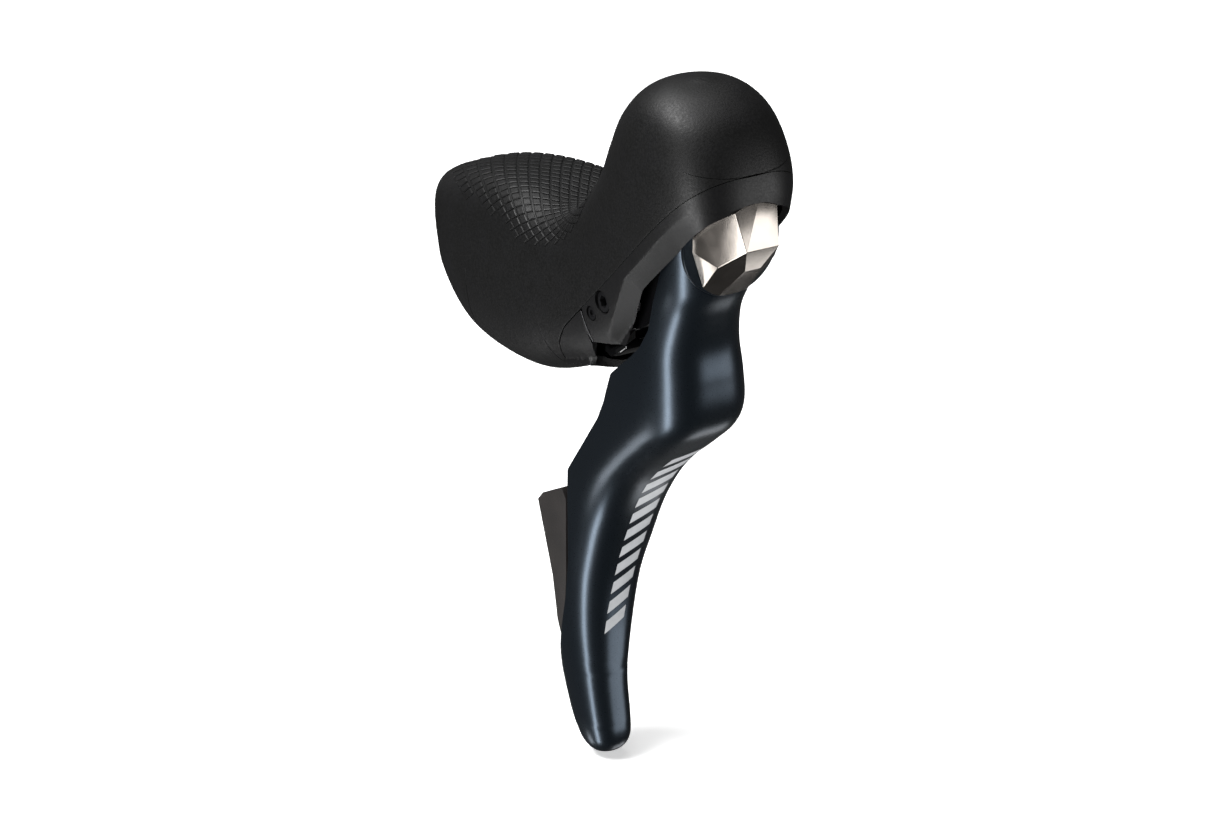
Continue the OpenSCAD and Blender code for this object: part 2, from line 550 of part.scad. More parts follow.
module brake_blade() color([0.15, 0.17, 0.2]) difference() {
    union() {
        loft([for (r = blade_shape) blade_row(r, 0, 0)]);
        along_x(eye_r, eye_x0, eye_x1, 0, head_z - 1);
    }
    loft([for (r = [for (k = [2 : 14]) blade_shape[k]]) blade_row(r, blade_t, 9)]);
    slab(behind_outer, -30, 0);
    slab(behind_inner, -1, 40);
    along_y(yoke_hub_r + 5, -far / 2, far / 2, axle_x, axle_z);
    // The yoke's head and neck.
    slab([[70, 60], [eye_x0, 60], [eye_x0, 29], [95.8, 23.6], [91.5, 13], [84, 8], [70, 12]],
        -yoke_w - 0.6, yoke_w + 0.6);
    along_x(spindle_r + 1.1, eye_x0 - 1, eye_x1 + 1, 0, swing_z);
    along_x(7.4, eye_x0 + 2.4, eye_x1 + 1, 0, swing_z);
}
module blade_bush() color([0.75, 0.6, 0.3]) difference() {
    along_x(spindle_r + 1.08, eye_x0 - 0.1, eye_x0 + 2.4, 0, swing_z);
    along_x(spindle_r + run, eye_x0 - 2, eye_x1 + 2, 0, swing_z);
}
module blade_spring() color([0.6, 0.6, 0.62]) translate([eye_x0 + 2.6, 0, swing_z]) rotate([0, 90, 0])
    coil(spindle_r + 1.9, 0.4, 2.4, 2);

// ---- Release paddle ----
hub_x0 = 93.2;
hub_x1 = 97.4;
// [x, far side's y, z, half width] down the arm
arm = [[95.3, -1, 36, 1.7], [95.1, -1.8, 30, 1.7], [92.2, -2.8, 23, 1.8], [88.4, -3.6, 12, 2], [80,
    -4.2, -6, 2.4], [64, -5.4, -25, 2.4],
    [49.8, -6.2, -41.5, 2.4]];
module release_paddle() color([0.18, 0.17, 0.16]) difference() {
    union() {
        along_x(5.8, hub_x0, hub_x1, 0, swing_z);
        // Arm down the inside of the hollow blade, as a run of straight lengths.
        for (i = [0 : len(arm) - 2]) hull() for (p = [arm[i], arm[i + 1]])
            translate([p[0], p[1], p[2]]) rotate([90, 0, 0]) cylinder(h = 3, r = p[3], $fn = 24);
        // Wing for the fingertip, behind the blade.
        slab([[39.6, -43.4], [48.4, -38.6], [50.4, -41], [50.4, -62], [49.4, -75], [48, -78.6], [46.2,
            -75], [44, -64], [37.2, -46]],
             -12.6, -9);
    }
    along_x(spindle_r + 1.1, 90, 100, 0, swing_z);
}
module paddle_bush() color([0.75, 0.6, 0.3]) difference() {
    along_x(spindle_r + 1.08, hub_x0, hub_x1, 0, swing_z);
    along_x(spindle_r + run, 90, 100, 0, swing_z);
}

// ---- Shift unit ----
unit_space_r = 12.3;
unit_x0 = 37;
unit_x1 = 56.6;
unit_spindle_r = 2.4;
pin_at = drum_r + 2.6;
pin_r = 1.1;
tooth_tip = drum_r + 0.6;
holding_angle = 80;
winding_angle = 250;
module unit_disc(x, h, r) { on_unit(x) cylinder(h = h, r = r); }
module shift_plates() color([0.7, 0.7, 0.72]) for (x = [37.4, 53]) difference() {
    unit_disc(x, 1.2, 11.9);
    unit_disc(x - 1, 4, unit_spindle_r + 0.02);
    on_unit(x - 1) rotate(holding_angle) translate([pin_at, 0, 0]) cylinder(h = 4, r = pin_r + 0.02);
}
module shift_spindle() color([0.6, 0.6, 0.62]) unit_disc(37.4, 18.8, unit_spindle_r);
module spindle_nut() color([0.6, 0.6, 0.62]) difference() {
    on_unit(54.3) cylinder(h = 2, r = 4, $fn = 6);
    unit_disc(53, 5, unit_spindle_r + 0.02);
}
module pawl_pin() color([0.6, 0.6, 0.62]) on_unit(37.6) rotate(holding_angle) translate([pin_at, 0,
    0]) cylinder(h = 16.4, r = pin_r);
module drum_spring() color([0.6, 0.6, 0.62]) difference() {
    unit_disc(39, 2, 6.4);
    unit_disc(38, 4, 5.6);
}
module cable_drum() color([0.75, 0.74, 0.7]) difference() {
    on_unit(41.6) rotate_extrude() polygon([[unit_spindle_r + run, 0], [drum_r + 1.2, 0],
        [drum_r + 1.2, 1], [drum_r, 1.8],
        [drum_r, 2.8], [drum_r + 1.2, 3.6], [drum_r + 1.2, 4.6], [unit_spindle_r + run, 4.6]]);
    // Seat for the cable's end.
    on_unit(43.9) rotate(200) translate([drum_r - 1.4, 0, -4]) cylinder(h = 8, r = 1.3);
}
module ratchet_wheel() color([0.65, 0.65, 0.67]) on_unit(46.3) difference() {
    linear_extrude(2.4) polygon([for (i = [0 : ratchet_teeth - 1]) let (a = 360 * i / ratchet_teeth,
        w = 360 / ratchet_teeth)
        each [[tooth_tip * cos(a), tooth_tip * sin(a)],
              [(tooth_tip - 1.3) * cos(a + w * 0.1), (tooth_tip - 1.3) * sin(a + w * 0.1)]]]);
    translate([0, 0, -1]) cylinder(h = 5, r = unit_spindle_r + run);
}
// A flat arm on the spindle, reaching out to a pin.
module unit_arm(x, h, angle) on_unit(x) difference() {
    union() {
        cylinder(h = h, r = 4.6);
        rotate(angle) translate([0, -2.2, 0]) cube([pin_at, 4.4, h]);
    }
    translate([0, 0, -1]) cylinder(h = h + 2, r = unit_spindle_r + run);
}
module winding_arm() color([0.66, 0.66, 0.68]) {
    unit_arm(49.2, 1.4, winding_angle);
    on_unit(46.4) rotate(winding_angle) translate([pin_at, 0, 0]) cylinder(h = 4.2, r = pin_r);
}
module release_arm() color([0.66, 0.66, 0.68]) unit_arm(51.1, 1.4, 20);
// A pawl lies along the wheel, its tip just clear of the teeth.
module pawl(x, angle) on_unit(x) rotate(angle) difference() {
    union() {
        translate([pin_at, 0, 0]) cylinder(h = 1.9, r = 1.6);
        linear_extrude(1.9) polygon([[pin_at + 1.4, 0], [pin_at - 0.4, 4.8], [tooth_tip + 0.25, 4.6],
            [pin_at - 0.9, 3], [pin_at - 1.4, 0]]);
    }
    translate([pin_at, 0, -1]) cylinder(h = 4, r = pin_r + run);
}
module holding_pawl() color([0.6, 0.6, 0.62]) pawl(46.6, holding_angle);
module winding_pawl() color([0.6, 0.6, 0.62]) pawl(46.6, winding_angle);

hood_cover();
bracket_body();
front_frame();
lower_panel();
under_cover();
clamp_band();
clamp_bolt();
clamp_nut();
lever_axle();
axle_clip();
axle_plug();
cylinder_sleeve();
piston_spring();
reservoir_diaphragm();
reservoir_lid();
lid_screws();
bleed_screw();
bleed_oring();
hose_nut();
hose_olive();
cable_stop();
lever_spring();
reach_screw();
shift_plates();
shift_spindle();
spindle_nut();
drum_spring();
pawl_pin();
lever_yoke();
yoke_bushes();
swing_spindle();
head_cap();
cap_screw();
blade_spring();
brake_blade();
blade_bush();
release_paddle();
paddle_bush();
master_piston();
primary_cup();
secondary_cup();
push_rod();
cable_drum();
ratchet_wheel();
winding_arm();
winding_pawl();
release_arm();
holding_pawl();
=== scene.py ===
import bpy
import json
import math
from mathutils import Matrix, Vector

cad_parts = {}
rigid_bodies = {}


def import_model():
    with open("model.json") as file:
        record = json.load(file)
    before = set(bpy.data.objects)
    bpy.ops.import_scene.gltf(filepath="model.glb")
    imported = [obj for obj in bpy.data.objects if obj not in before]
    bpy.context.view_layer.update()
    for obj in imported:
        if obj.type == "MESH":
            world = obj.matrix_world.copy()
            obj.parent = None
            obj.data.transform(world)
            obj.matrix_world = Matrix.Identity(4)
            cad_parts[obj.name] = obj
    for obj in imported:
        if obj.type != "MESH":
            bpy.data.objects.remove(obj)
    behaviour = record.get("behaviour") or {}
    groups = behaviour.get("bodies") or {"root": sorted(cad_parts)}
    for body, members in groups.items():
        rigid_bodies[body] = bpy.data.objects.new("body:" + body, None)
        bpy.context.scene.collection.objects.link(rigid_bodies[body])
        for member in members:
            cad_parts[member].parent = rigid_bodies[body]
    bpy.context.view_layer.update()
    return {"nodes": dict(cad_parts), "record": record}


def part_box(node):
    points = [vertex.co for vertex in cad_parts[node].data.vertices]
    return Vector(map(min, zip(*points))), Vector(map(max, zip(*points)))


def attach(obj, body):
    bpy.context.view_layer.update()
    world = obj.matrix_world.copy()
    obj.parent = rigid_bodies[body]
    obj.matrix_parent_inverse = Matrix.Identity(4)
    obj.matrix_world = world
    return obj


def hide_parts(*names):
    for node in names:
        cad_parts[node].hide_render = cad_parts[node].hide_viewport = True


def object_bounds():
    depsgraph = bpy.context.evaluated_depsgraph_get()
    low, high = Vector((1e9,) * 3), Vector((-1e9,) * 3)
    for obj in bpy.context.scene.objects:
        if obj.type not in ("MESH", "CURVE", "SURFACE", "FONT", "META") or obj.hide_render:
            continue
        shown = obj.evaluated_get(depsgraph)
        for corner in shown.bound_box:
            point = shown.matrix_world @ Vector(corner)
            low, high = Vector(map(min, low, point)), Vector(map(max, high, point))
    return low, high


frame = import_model()
mm = 0.001
print("frame loaded")


def mix(a, b, f):
    return a + (b - a) * f


def signedPower(v, p):
    return math.copysign(abs(v) ** p, v)


# a smooth curve through the rows of a form, t counting rows
def rowAt(rows, t):
    k = min(int(t), len(rows) - 2)
    f = t - k
    a, b = rows[max(k - 1, 0)], rows[k]
    c, d = rows[k + 1], rows[min(k + 2, len(rows) - 1)]
    return [0.5 * (2 * q + (r - p) * f + (2 * p - 5 * q + 4 * r - s) * f * f + (3 * q - p - 3 * r + s) * f ** 3)
            for p, q, r, s in zip(a, b, c, d)]


def lineAt(points, x):
    if x <= points[0][0]:
        return points[0][1]
    for (a, b), (c, d) in zip(points, points[1:]):
        if x <= c:
            return mix(b, d, (x - a) / (c - a))
    return points[-1][1]


# count + 1 points at equal steps along a chain of points
def evenly(points, count):
    lengths = [0]
    for a, b in zip(points, points[1:]):
        lengths.append(lengths[-1] + (b - a).length)
    result, k = [], 0
    for i in range(count + 1):
        want = lengths[-1] * i / count
        while k < len(points) - 2 and lengths[k + 1] < want:
            k += 1
        step = lengths[k + 1] - lengths[k]
        result.append(points[k].lerp(points[k + 1], (want - lengths[k]) / step if step > 1e-12 else 0))
    return result


# count + 1 values at equal steps of the distance walked along a fine list of values
def evenSteps(fine, walked, count):
    steps, k = [], 0
    for i in range(count + 1):
        want = walked[-1] * i / count
        while k < len(fine) - 2 and walked[k + 1] < want:
            k += 1
        steps.append(mix(fine[k], fine[k + 1], (want - walked[k]) / max(walked[k + 1] - walked[k], 1e-9)))
    return steps


def insideOutline(outline, x, z):
    inside = False
    for (a, b), (c, d) in zip(outline, outline[1:] + outline[:1]):
        if (b > z) != (d > z) and x < (c - a) * (z - b) / (d - b) + a:
            inside = not inside
    return inside


def selectOnly(piece):
    bpy.ops.object.select_all(action="DESELECT")
    bpy.context.view_layer.objects.active = piece
    piece.select_set(True)


def editAll(piece):
    selectOnly(piece)
    bpy.ops.object.mode_set(mode="EDIT")
    bpy.ops.mesh.select_mode(type="VERT")
    bpy.ops.mesh.select_all(action="SELECT")


def objectMode():
    bpy.ops.object.mode_set(mode="OBJECT")


def named(name):
    piece = bpy.context.object
    piece.name = name
    piece.data.name = name
    return piece


# a grid is added and its points are put on a surface, column by column
def drapedGrid(name, columns):
    wide, tall = len(columns[0]) - 1, len(columns) - 1
    bpy.ops.object.select_all(action="DESELECT")
    bpy.ops.mesh.primitive_grid_add(x_subdivisions=wide, y_subdivisions=tall, size=1)
    piece = named(name)
    for i, vertex in enumerate(piece.data.vertices):
        vertex.co = columns[i // (wide + 1)][i % (wide + 1)] * mm
    return piece


def cleanUp(piece, merge=0.004, turn=True):
    editAll(piece)
    bpy.ops.mesh.remove_doubles(threshold=merge * mm)
    bpy.ops.mesh.dissolve_degenerate(threshold=merge * mm)
    if turn:
        bpy.ops.mesh.normals_make_consistent(inside=False)
    objectMode()


def bevelEdges(piece, width, segments, angle):
    applyModifier(piece, "BEVEL", width=width * mm, segments=segments, limit_method="ANGLE",
                  angle_limit=math.radians(angle))


def applyModifier(piece, kind, **settings):
    selectOnly(piece)
    modifier = piece.modifiers.new(kind.title(), kind)
    for key, value in settings.items():
        setattr(modifier, key, value)
    bpy.ops.object.modifier_apply(modifier=modifier.name)


def smoothShade(piece, degrees=35):
    selectOnly(piece)
    bpy.ops.object.shade_smooth_by_angle(angle=math.radians(degrees))


def join(name, pieces):
    bpy.ops.object.select_all(action="DESELECT")
    for piece in pieces:
        piece.select_set(True)
    bpy.context.view_layer.objects.active = pieces[0]
    if len(pieces) > 1:
        bpy.ops.object.join()
    return named(name)


# what is drawn as separate small faces, such as the diamonds and the printed bars
def facePiece(name, corners, faces):
    mesh = bpy.data.meshes.new(name)
    mesh.from_pydata(corners, [], faces)
    piece = bpy.data.objects.new(name, mesh)
    bpy.context.scene.collection.objects.link(piece)
    cleanUp(piece, 0.001)
    return piece


def middleOf(nodeName):  # in millimetres
    low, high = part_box(nodeName)
    return [(a + b) / 2 / mm for a, b in zip(low, high)]


def finishPiece(piece, material, body, slotName, *nodes):
    piece.data.materials.clear()
    piece.data.materials.append(material)
    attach(piece, body)
    if nodes:
        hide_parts(*nodes)
    return piece


def linear(hexColour):
    parts = [int(hexColour[i:i + 2], 16) / 255 for i in (1, 3, 5)]
    return tuple(p / 12.92 if p <= 0.04045 else ((p + 0.055) / 1.055) ** 2.4 for p in parts) + (1,)


def addNode(tree, kind, inputs=None, links=None, **settings):
    node = tree.nodes.new(kind)
    for key, value in settings.items():
        setattr(node, key, value)
    for key, value in (inputs or {}).items():
        node.inputs[key].default_value = value
    for key, source in (links or {}).items():
        tree.links.new(source, node.inputs[key])
    return node


def newMaterial(name, shader):
    material = bpy.data.materials.new(name)
    material.use_nodes = True
    tree = material.node_tree
    surface = tree.nodes["Principled BSDF"]
    for key, value in shader.items():
        surface.inputs[key].default_value = value
    place = addNode(tree, "ShaderNodeTexCoord").outputs["Object"]
    return material, tree, surface, place


def grainScale(sizeMm):  # a pattern's scale from the size of one grain
    return 1 / (sizeMm * mm)


# Colour drifts between two tones, roughness lies between two values, and a fine grain stands in relief.
def mottled(name, tones, roughness, driftMm, grainMm, relief, shader=None, detail=3):
    material, tree, surface, place = newMaterial(name, shader or {})
    drift = addNode(tree, "ShaderNodeTexNoise", {"Scale": grainScale(driftMm), "Detail": detail, "Roughness": 0.6},
                    {"Vector": place})
    ramp = addNode(tree, "ShaderNodeValToRGB", links={"Fac": drift.outputs["Fac"]})
    ramp.color_ramp.elements[0].position, ramp.color_ramp.elements[1].position = 0.32, 0.68
    ramp.color_ramp.elements[0].color, ramp.color_ramp.elements[1].color = linear(tones[0]), linear(tones[1])
    tree.links.new(ramp.outputs["Color"], surface.inputs["Base Color"])
    grain = addNode(tree, "ShaderNodeTexNoise", {"Scale": grainScale(grainMm), "Detail": 2.0, "Roughness": 0.5},
                    {"Vector": place})
    spread = addNode(tree, "ShaderNodeMapRange",
                     {"From Min": 0.3, "From Max": 0.7, "To Min": roughness[0], "To Max": roughness[1]},
                     {"Value": grain.outputs["Fac"]})
    tree.links.new(spread.outputs["Result"], surface.inputs["Roughness"])
    bump = addNode(tree, "ShaderNodeBump", {"Strength": relief, "Distance": grainMm * 0.3 * mm},
                   {"Height": grain.outputs["Fac"]})
    tree.links.new(bump.outputs["Normal"], surface.inputs["Normal"])
    return material


# silicone-modified rubber, moulded on an eroded tool: matt charcoal with a soft fine grain
# (the real grain is about 0.2 mm, drawn at 0.55 mm so that it shows)
hoodRubber = mottled("mouldedHoodRubber", ("#080808", "#0b0b0c"), (0.44, 0.58), 6, 0.55, 0.3,
                     {"IOR": 1.5, "Specular IOR Level": 0.3})
# glass-filled nylon: satin black with the grain that the fibres leave
framePlastic = mottled("glassFilledNylon", ("#0b0b0c", "#0f0f10"), (0.4, 0.52), 9, 0.4, 0.18,
                      {"IOR": 1.5, "Specular IOR Level": 0.3})
# polished ABS: deep black with a faint orange peel
glossPlastic = mottled("polishedBlackAbs", ("#0b0b0c", "#101011"), (0.07, 0.13), 12, 3.0, 0.05, {"IOR": 1.54})
# nickel plate over a polished casting: bright and warm with faint polishing cloud
nickelPlate = mottled("polishedNickelPlate", ("#8a847e", "#958f89"), (0.19, 0.23), 14, 3.0, 0.01, {"Metallic": 1.0})
# metallic lacquer on forged aluminium: dark blue-grey with fine flake under a clear coat
# (the flake is about 0.05 mm, drawn at 0.25 mm so that it shows)
bladeLacquer = mottled("metallicBladeLacquer", ("#252d35", "#2b343d"), (0.27, 0.33), 0.25, 0.3, 0.03,
                       {"Metallic": 0.85, "Coat Weight": 0.2, "Coat Roughness": 0.32}, 1)
# moulded acetal: matt dark brown-grey
paddlePlastic = mottled("mouldedAcetal", ("#1f1d1c", "#262322"), (0.5, 0.62), 7, 0.45, 0.25, {"IOR": 1.48})
# screen-printed ink: light grey, a little chalky
printedInk = mottled("greyPadPrint", ("#c4c7ca", "#cfd1d4"), (0.4, 0.5), 2, 0.4, 0.05, {"IOR": 1.5})
# brushed stainless: pale grey with a soft broken shine
brightSteel = mottled("brushedStainlessSteel", ("#a3a4a6", "#b4b5b7"), (0.22, 0.34), 5, 0.6, 0.1, {"Metallic": 1.0})
# blackened steel: near black, a dull metal shine on its edges
darkSteel = mottled("blackenedSteel", ("#1b1b1d", "#262628"), (0.3, 0.42), 3, 0.5, 0.12, {"Metallic": 0.6})
# zinc-plated stampings: mid grey, faintly cloudy
plateSteel = mottled("stampedZincSteel", ("#8f9092", "#a5a6a8"), (0.28, 0.42), 4, 0.7, 0.14, {"Metallic": 1.0})
# nitrile rubber: soft black without shine
sealRubber = mottled("nitrileSealRubber", ("#141415", "#1d1d1e"), (0.45, 0.6), 3, 0.4, 0.2, {"IOR": 1.52})
# turned brass: warm yellow with a clean shine
brass = mottled("turnedBrass", ("#b08d45", "#c6a157"), (0.22, 0.32), 3, 0.5, 0.1, {"Metallic": 1.0})
# natural acetal: milky white, slightly waxy
whitePlastic = mottled("naturalAcetal", ("#cfcbbd", "#dcd9cd"), (0.35, 0.48), 5, 0.5, 0.1, {"IOR": 1.48})
# glass-filled resin: sandy brown and matt
pistonResin = mottled("glassFilledPistonResin", ("#8d8469", "#a0967a"), (0.4, 0.5), 2, 0.4, 0.15, {"IOR": 1.55})
# backdrop paper: plain white, with a little light of its own so that it stays white far off
floorPaper = mottled("whiteBackdropPaper", ("#fafafa", "#fdfdfd"), (0.8, 0.9), 60, 1.5, 0.03,
                     {"Emission Color": (1, 1, 1, 1), "Emission Strength": 0.5})
slotMaterials = {
    "hood_rubber": hoodRubber, "bracket_plastic": framePlastic, "gloss_black": glossPlastic,
    "bright_steel": brightSteel, "dark_steel": darkSteel, "plate_steel": plateSteel, "seal_rubber": sealRubber,
    "brass": brass, "nickel": nickelPlate, "blade_paint": bladeLacquer, "paddle_plastic": paddlePlastic,
    "white_plastic": whitePlastic, "piston_resin": pistonResin}
for part in frame["record"]["subparts"]:
    node = frame["nodes"][part["node"]]
    node.data.materials.clear()
    node.data.materials.append(slotMaterials[part["material_slot"]])
print("materials on", len(frame["nodes"]), "nodes")

# the form that the hood, the front frame and the lower panel share, in millimetres
body = {
    # one oval ring each: upper x, upper z, lower x, lower z, half width, squareness above and below
    "rows": [
        [-12, 24.5, -12, -9.5, 16.2, 3.2, 2.7],
        [2, 29.2, 2, -13.2, 17.2, 3.4, 2.7],
        [16, 32, 18, -15.2, 17.9, 3.9, 2.7],
        [30, 33, 36, -13.5, 18, 4.6, 2.7],
        [42, 31.9, 52, -7, 17.7, 4, 2.7],
        [51, 35, 68, -1.5, 16.9, 3.2, 2.7],
        [58, 43, 88, 11, 16.6, 2.9, 2.7],
        [62.5, 50, 104, 29, 16.9, 2.7, 2.8],
        [66, 58, 111.5, 45, 17.3, 2.5, 2.8],
        [70, 66, 112.3, 57, 17, 2.3, 2.7],
        [75.5, 72, 107.5, 68.5, 14.4, 2.1, 2.4],
        [82, 75.4, 100, 74.4, 9.3, 2, 2.1],
        [88.5, 76.5, 92, 76.4, 2, 2, 2],
        [90.2, 76.55, 90.3, 76.55, 0.02, 2, 2]],
    # outlines in side view, x and z
    "hoodSide": [(-9, 24), (-5.6, 17), (-1.8, 5), (6.2, -5), (12, -12), (14.5, -30), (46, -30), (49, -8), (53.4, 2.5),
                 (57.1, 7.8), (64.6, 15), (111.1, 59.7), (122, 70.2), (122, 120), (-9, 120)],
    "frameSide": [(64.7, 14.95), (111.2, 59.6), (122, 70), (122, 60), (114.3, 54), (98.3, 37.6), (87.2, 26.8),
                  (78.2, 9.4), (67.4, 7)],
    "panelSide": [(64.2, 14.3), (57.4, 7.7), (53.7, 2.4), (49.3, -8), (47.3, -14.5), (60.8, -14.5), (66.7, 6.8)],
    # from ring, to ring, times closer: where an outline crosses the form's middle
    "closeRings": [(0.2, 0.5, 3), (1.6, 1.95, 4), (3.6, 4.7, 3), (8.5, 9.35, 5)]}


def ringSquareness(row, upper):
    return row[5] if upper else row[6]


def ringPoint(row, a):
    power = 2 / ringSquareness(row, math.cos(a) > -0.0001)
    u = signedPower(math.cos(a), power)
    v = signedPower(math.sin(a), power)
    f = (1 + u) / 2
    return Vector((mix(row[2], row[0], f), row[4] * v, mix(row[3], row[1], f)))


# the share of a ring, from its lower end, that lies inside a side view
def ringSpan(row, outline):
    def held(f):
        return insideOutline(outline, mix(row[2], row[0], f), mix(row[3], row[1], f))

    def edge(good, bad):
        for _ in range(16):
            middle = (good + bad) / 2
            good, bad = (middle, bad) if held(middle) else (good, middle)
        return good

    steps = 160
    found = [k / steps for k in range(steps + 1) if held(k / steps)]
    if not found:
        return None
    low, high = found[0], found[-1]
    if low > 0:
        low = edge(low, low - 1 / steps)
    if high < 1:
        high = edge(high, high + 1 / steps)
    return low, high


def ringAngle(row, f):
    u = 2 * f - 1
    return math.acos(max(-1, min(1, signedPower(u, ringSquareness(row, u > 0) / 2))))


def ringArc(row, start, end, count, samples=240):
    return evenly([ringPoint(row, mix(start, end, i / samples)) for i in range(samples + 1)], count)


def ringSteps(first, last, spacing):
    rows = body["rows"]
    fine = [first + (last - first) * i / 800 for i in range(801)]
    walked = [0]
    for a, b in zip(fine, fine[1:]):
        p, q = rowAt(rows, a), rowAt(rows, b)
        finer = max([1] + [times for start, end, times in body["closeRings"] if start < a < end])
        walked.append(walked[-1] + finer * max(math.dist(p[:2], q[:2]), math.dist(p[2:4], q[2:4])))
    return evenSteps(fine, walked, max(2, round(walked[-1] / spacing)))


# the place on the form's skin that a side view shows at x, z
def skinPoint(x, z, side):
    rows = body["rows"]

    def ahead(t):
        row = rowAt(rows, t)
        return (x - row[2]) * (row[1] - row[3]) - (z - row[3]) * (row[0] - row[2])

    low, high = 0, 11.5
    for _ in range(40):
        middle = (low + high) / 2
        if ahead(middle) > 0:
            low = middle
        else:
            high = middle
    row = rowAt(rows, low)
    length = math.dist(row[:2], row[2:4])
    f = ((x - row[2]) * (row[0] - row[2]) + (z - row[3]) * (row[1] - row[3])) / length ** 2
    power = ringSquareness(row, f > 0.5)
    u = min(1, abs(2 * f - 1))
    return Vector((x, side * row[4] * (1 - u ** power) ** (1 / power), z))


# rubber hood: the whole form above its lower outline, with a wall
hood = {"wall": 2.0, "spacing": 1.0, "across": 132, "rimRound": 0.45, "firstRing": 0.215, "lastRing": 13,
        "smooth": 40}
columns = []
for t in ringSteps(hood["firstRing"], hood["lastRing"], hood["spacing"]):
    row = rowAt(body["rows"], t)
    span = ringSpan(row, body["hoodSide"])
    if span is None:
        continue
    reach = ringAngle(row, span[0])
    columns.append(ringArc(row, -reach, reach, hood["across"]))
hoodSkin = drapedGrid("hood_skin", columns)
cleanUp(hoodSkin, 0.02)
applyModifier(hoodSkin, "SOLIDIFY", thickness=hood["wall"] * mm, offset=-1)
bevelEdges(hoodSkin, hood["rimRound"], 3, 55)
smoothShade(hoodSkin, hood["smooth"])
finishPiece(hoodSkin, hoodRubber, "housing", "hood_rubber", "hood_cover")
print("hood", len(hoodSkin.data.polygons))

# raised diamonds on the grip's top, smaller towards the horn
diamonds = {
    "firstRing": 0.34, "lastRing": 6.3, "long": (7.6, 2.4), "wide": (4.5, 1.9), "fill": 0.84, "aside": 16,
    # each one's levels: share of its size, height over the skin
    "levels": [(1, -0.25), (0.97, 0.2), (0.72, 0.3)],
    # how far the field reaches down each side of the top line, by ring
    "reach": [(0.34, 10.5), (0.8, 16.5), (1.3, 19.5), (2.2, 21), (3.2, 23.5), (4.1, 25), (4.9, 24), (5.6, 19),
              (6.3, 12)]}
arcCache = {}


# the place on ring t that lies c millimetres from the top line, along the skin
def gripPoint(t, c):
    key = (round(t, 4), c > 0)
    if key not in arcCache:
        row = rowAt(body["rows"], t)
        side = 1 if c > 0 else -1
        arc = [ringPoint(row, side * math.pi * 0.75 * (i / 150) ** 1.6) for i in range(151)]
        run = [0]
        for a, b in zip(arc, arc[1:]):
            run.append(run[-1] + (b - a).length)
        arcCache[key] = (arc, run)
    arc, run = arcCache[key]
    want = abs(c)
    k = next((i for i in range(len(run) - 1) if run[i + 1] >= want), len(run) - 2)
    return arc[k].lerp(arc[k + 1], (want - run[k]) / max(run[k + 1] - run[k], 1e-9))


def raisedPoint(t, c, height):
    here = gripPoint(t, c)
    along = gripPoint(t + 0.02, c) - gripPoint(t - 0.02, c)
    across = gripPoint(t, c + 0.2) - gripPoint(t, c - 0.2)
    return here + across.cross(along).normalized() * -height


ringDistance = [(0, 0)]
while ringDistance[-1][0] < 7:
    t = ringDistance[-1][0]
    p, q = rowAt(body["rows"], t), rowAt(body["rows"], t + 0.05)
    ringDistance.append((t + 0.05, ringDistance[-1][1] + math.dist(p[:2], q[:2])))
lastDistance = lineAt(ringDistance, diamonds["lastRing"])


def shrinking(pair, distance):
    return mix(pair[0], pair[1], min(1, max(0, distance / lastDistance)) ** 0.8)


stations = [lineAt(ringDistance, diamonds["firstRing"])]
while stations[-1] < lastDistance:
    stations.append(stations[-1] + shrinking(diamonds["long"], stations[-1]) / 2)
ringAtDistance = [(b, a) for a, b in ringDistance]
corners, faces = [], []
for i in range(1, len(stations) - 1):
    for j in range(-diamonds["aside"], diamonds["aside"] + 1):
        if (i + j) % 2:
            continue
        middle = stations[i]
        pitch = shrinking(diamonds["wide"], middle) / 2
        ring = lineAt(ringAtDistance, middle)
        if abs(j) * pitch + pitch > lineAt(diamonds["reach"], ring):
            continue
        base = len(corners)
        for inset, height in diamonds["levels"]:
            size = diamonds["fill"] * inset
            for ds, dc in ((-1, 0), (0, 1), (1, 0), (0, -1)):
                s = middle + (stations[i + ds] - middle) * size if ds else middle
                pitchThere = shrinking(diamonds["wide"], s) / 2
                aside = (j + dc * size) * pitchThere
                corners.append(raisedPoint(lineAt(ringAtDistance, s), aside, height) * mm)
        for level in (0, 4):
            for k in range(4):
                a, b = base + level + k, base + level + (k + 1) % 4
                faces.append((a, b, b + 4, a + 4))
        faces.append((base + 8, base + 9, base + 10, base + 11))
        faces.append((base + 3, base + 2, base + 1, base))
diamondField = facePiece("hood_diamonds", corners, faces)
smoothShade(diamondField, 20)
finishPiece(diamondField, hoodRubber, "housing", "hood_rubber")
print("diamonds", len(faces) // 10)

# satin front frame and lower panel: two patches of the form, one each side
shell = {"wall": 1.7, "spacing": 0.8, "across": 22, "rings": (3.6, 9.6), "edgeRound": 0.3, "smooth": 14,
         "chamferWide": 4.2, "chamferSlope": 0.5, "chamferEnds": 109,
         # the inner face keeps clear of the blade, which swings behind it: y from, y to, up to x, up to z
         "clear": (10.5, 12.75, 96, 50)}


def edgeDistance(line, x, z):
    best = 99
    for (a, b), (c, d) in zip(line, line[1:]):
        f = max(0, min(1, ((x - a) * (c - a) + (z - b) * (d - b)) / ((c - a) ** 2 + (d - b) ** 2)))
        best = min(best, math.dist((x, z), (mix(a, c, f), mix(b, d, f))))
    return best


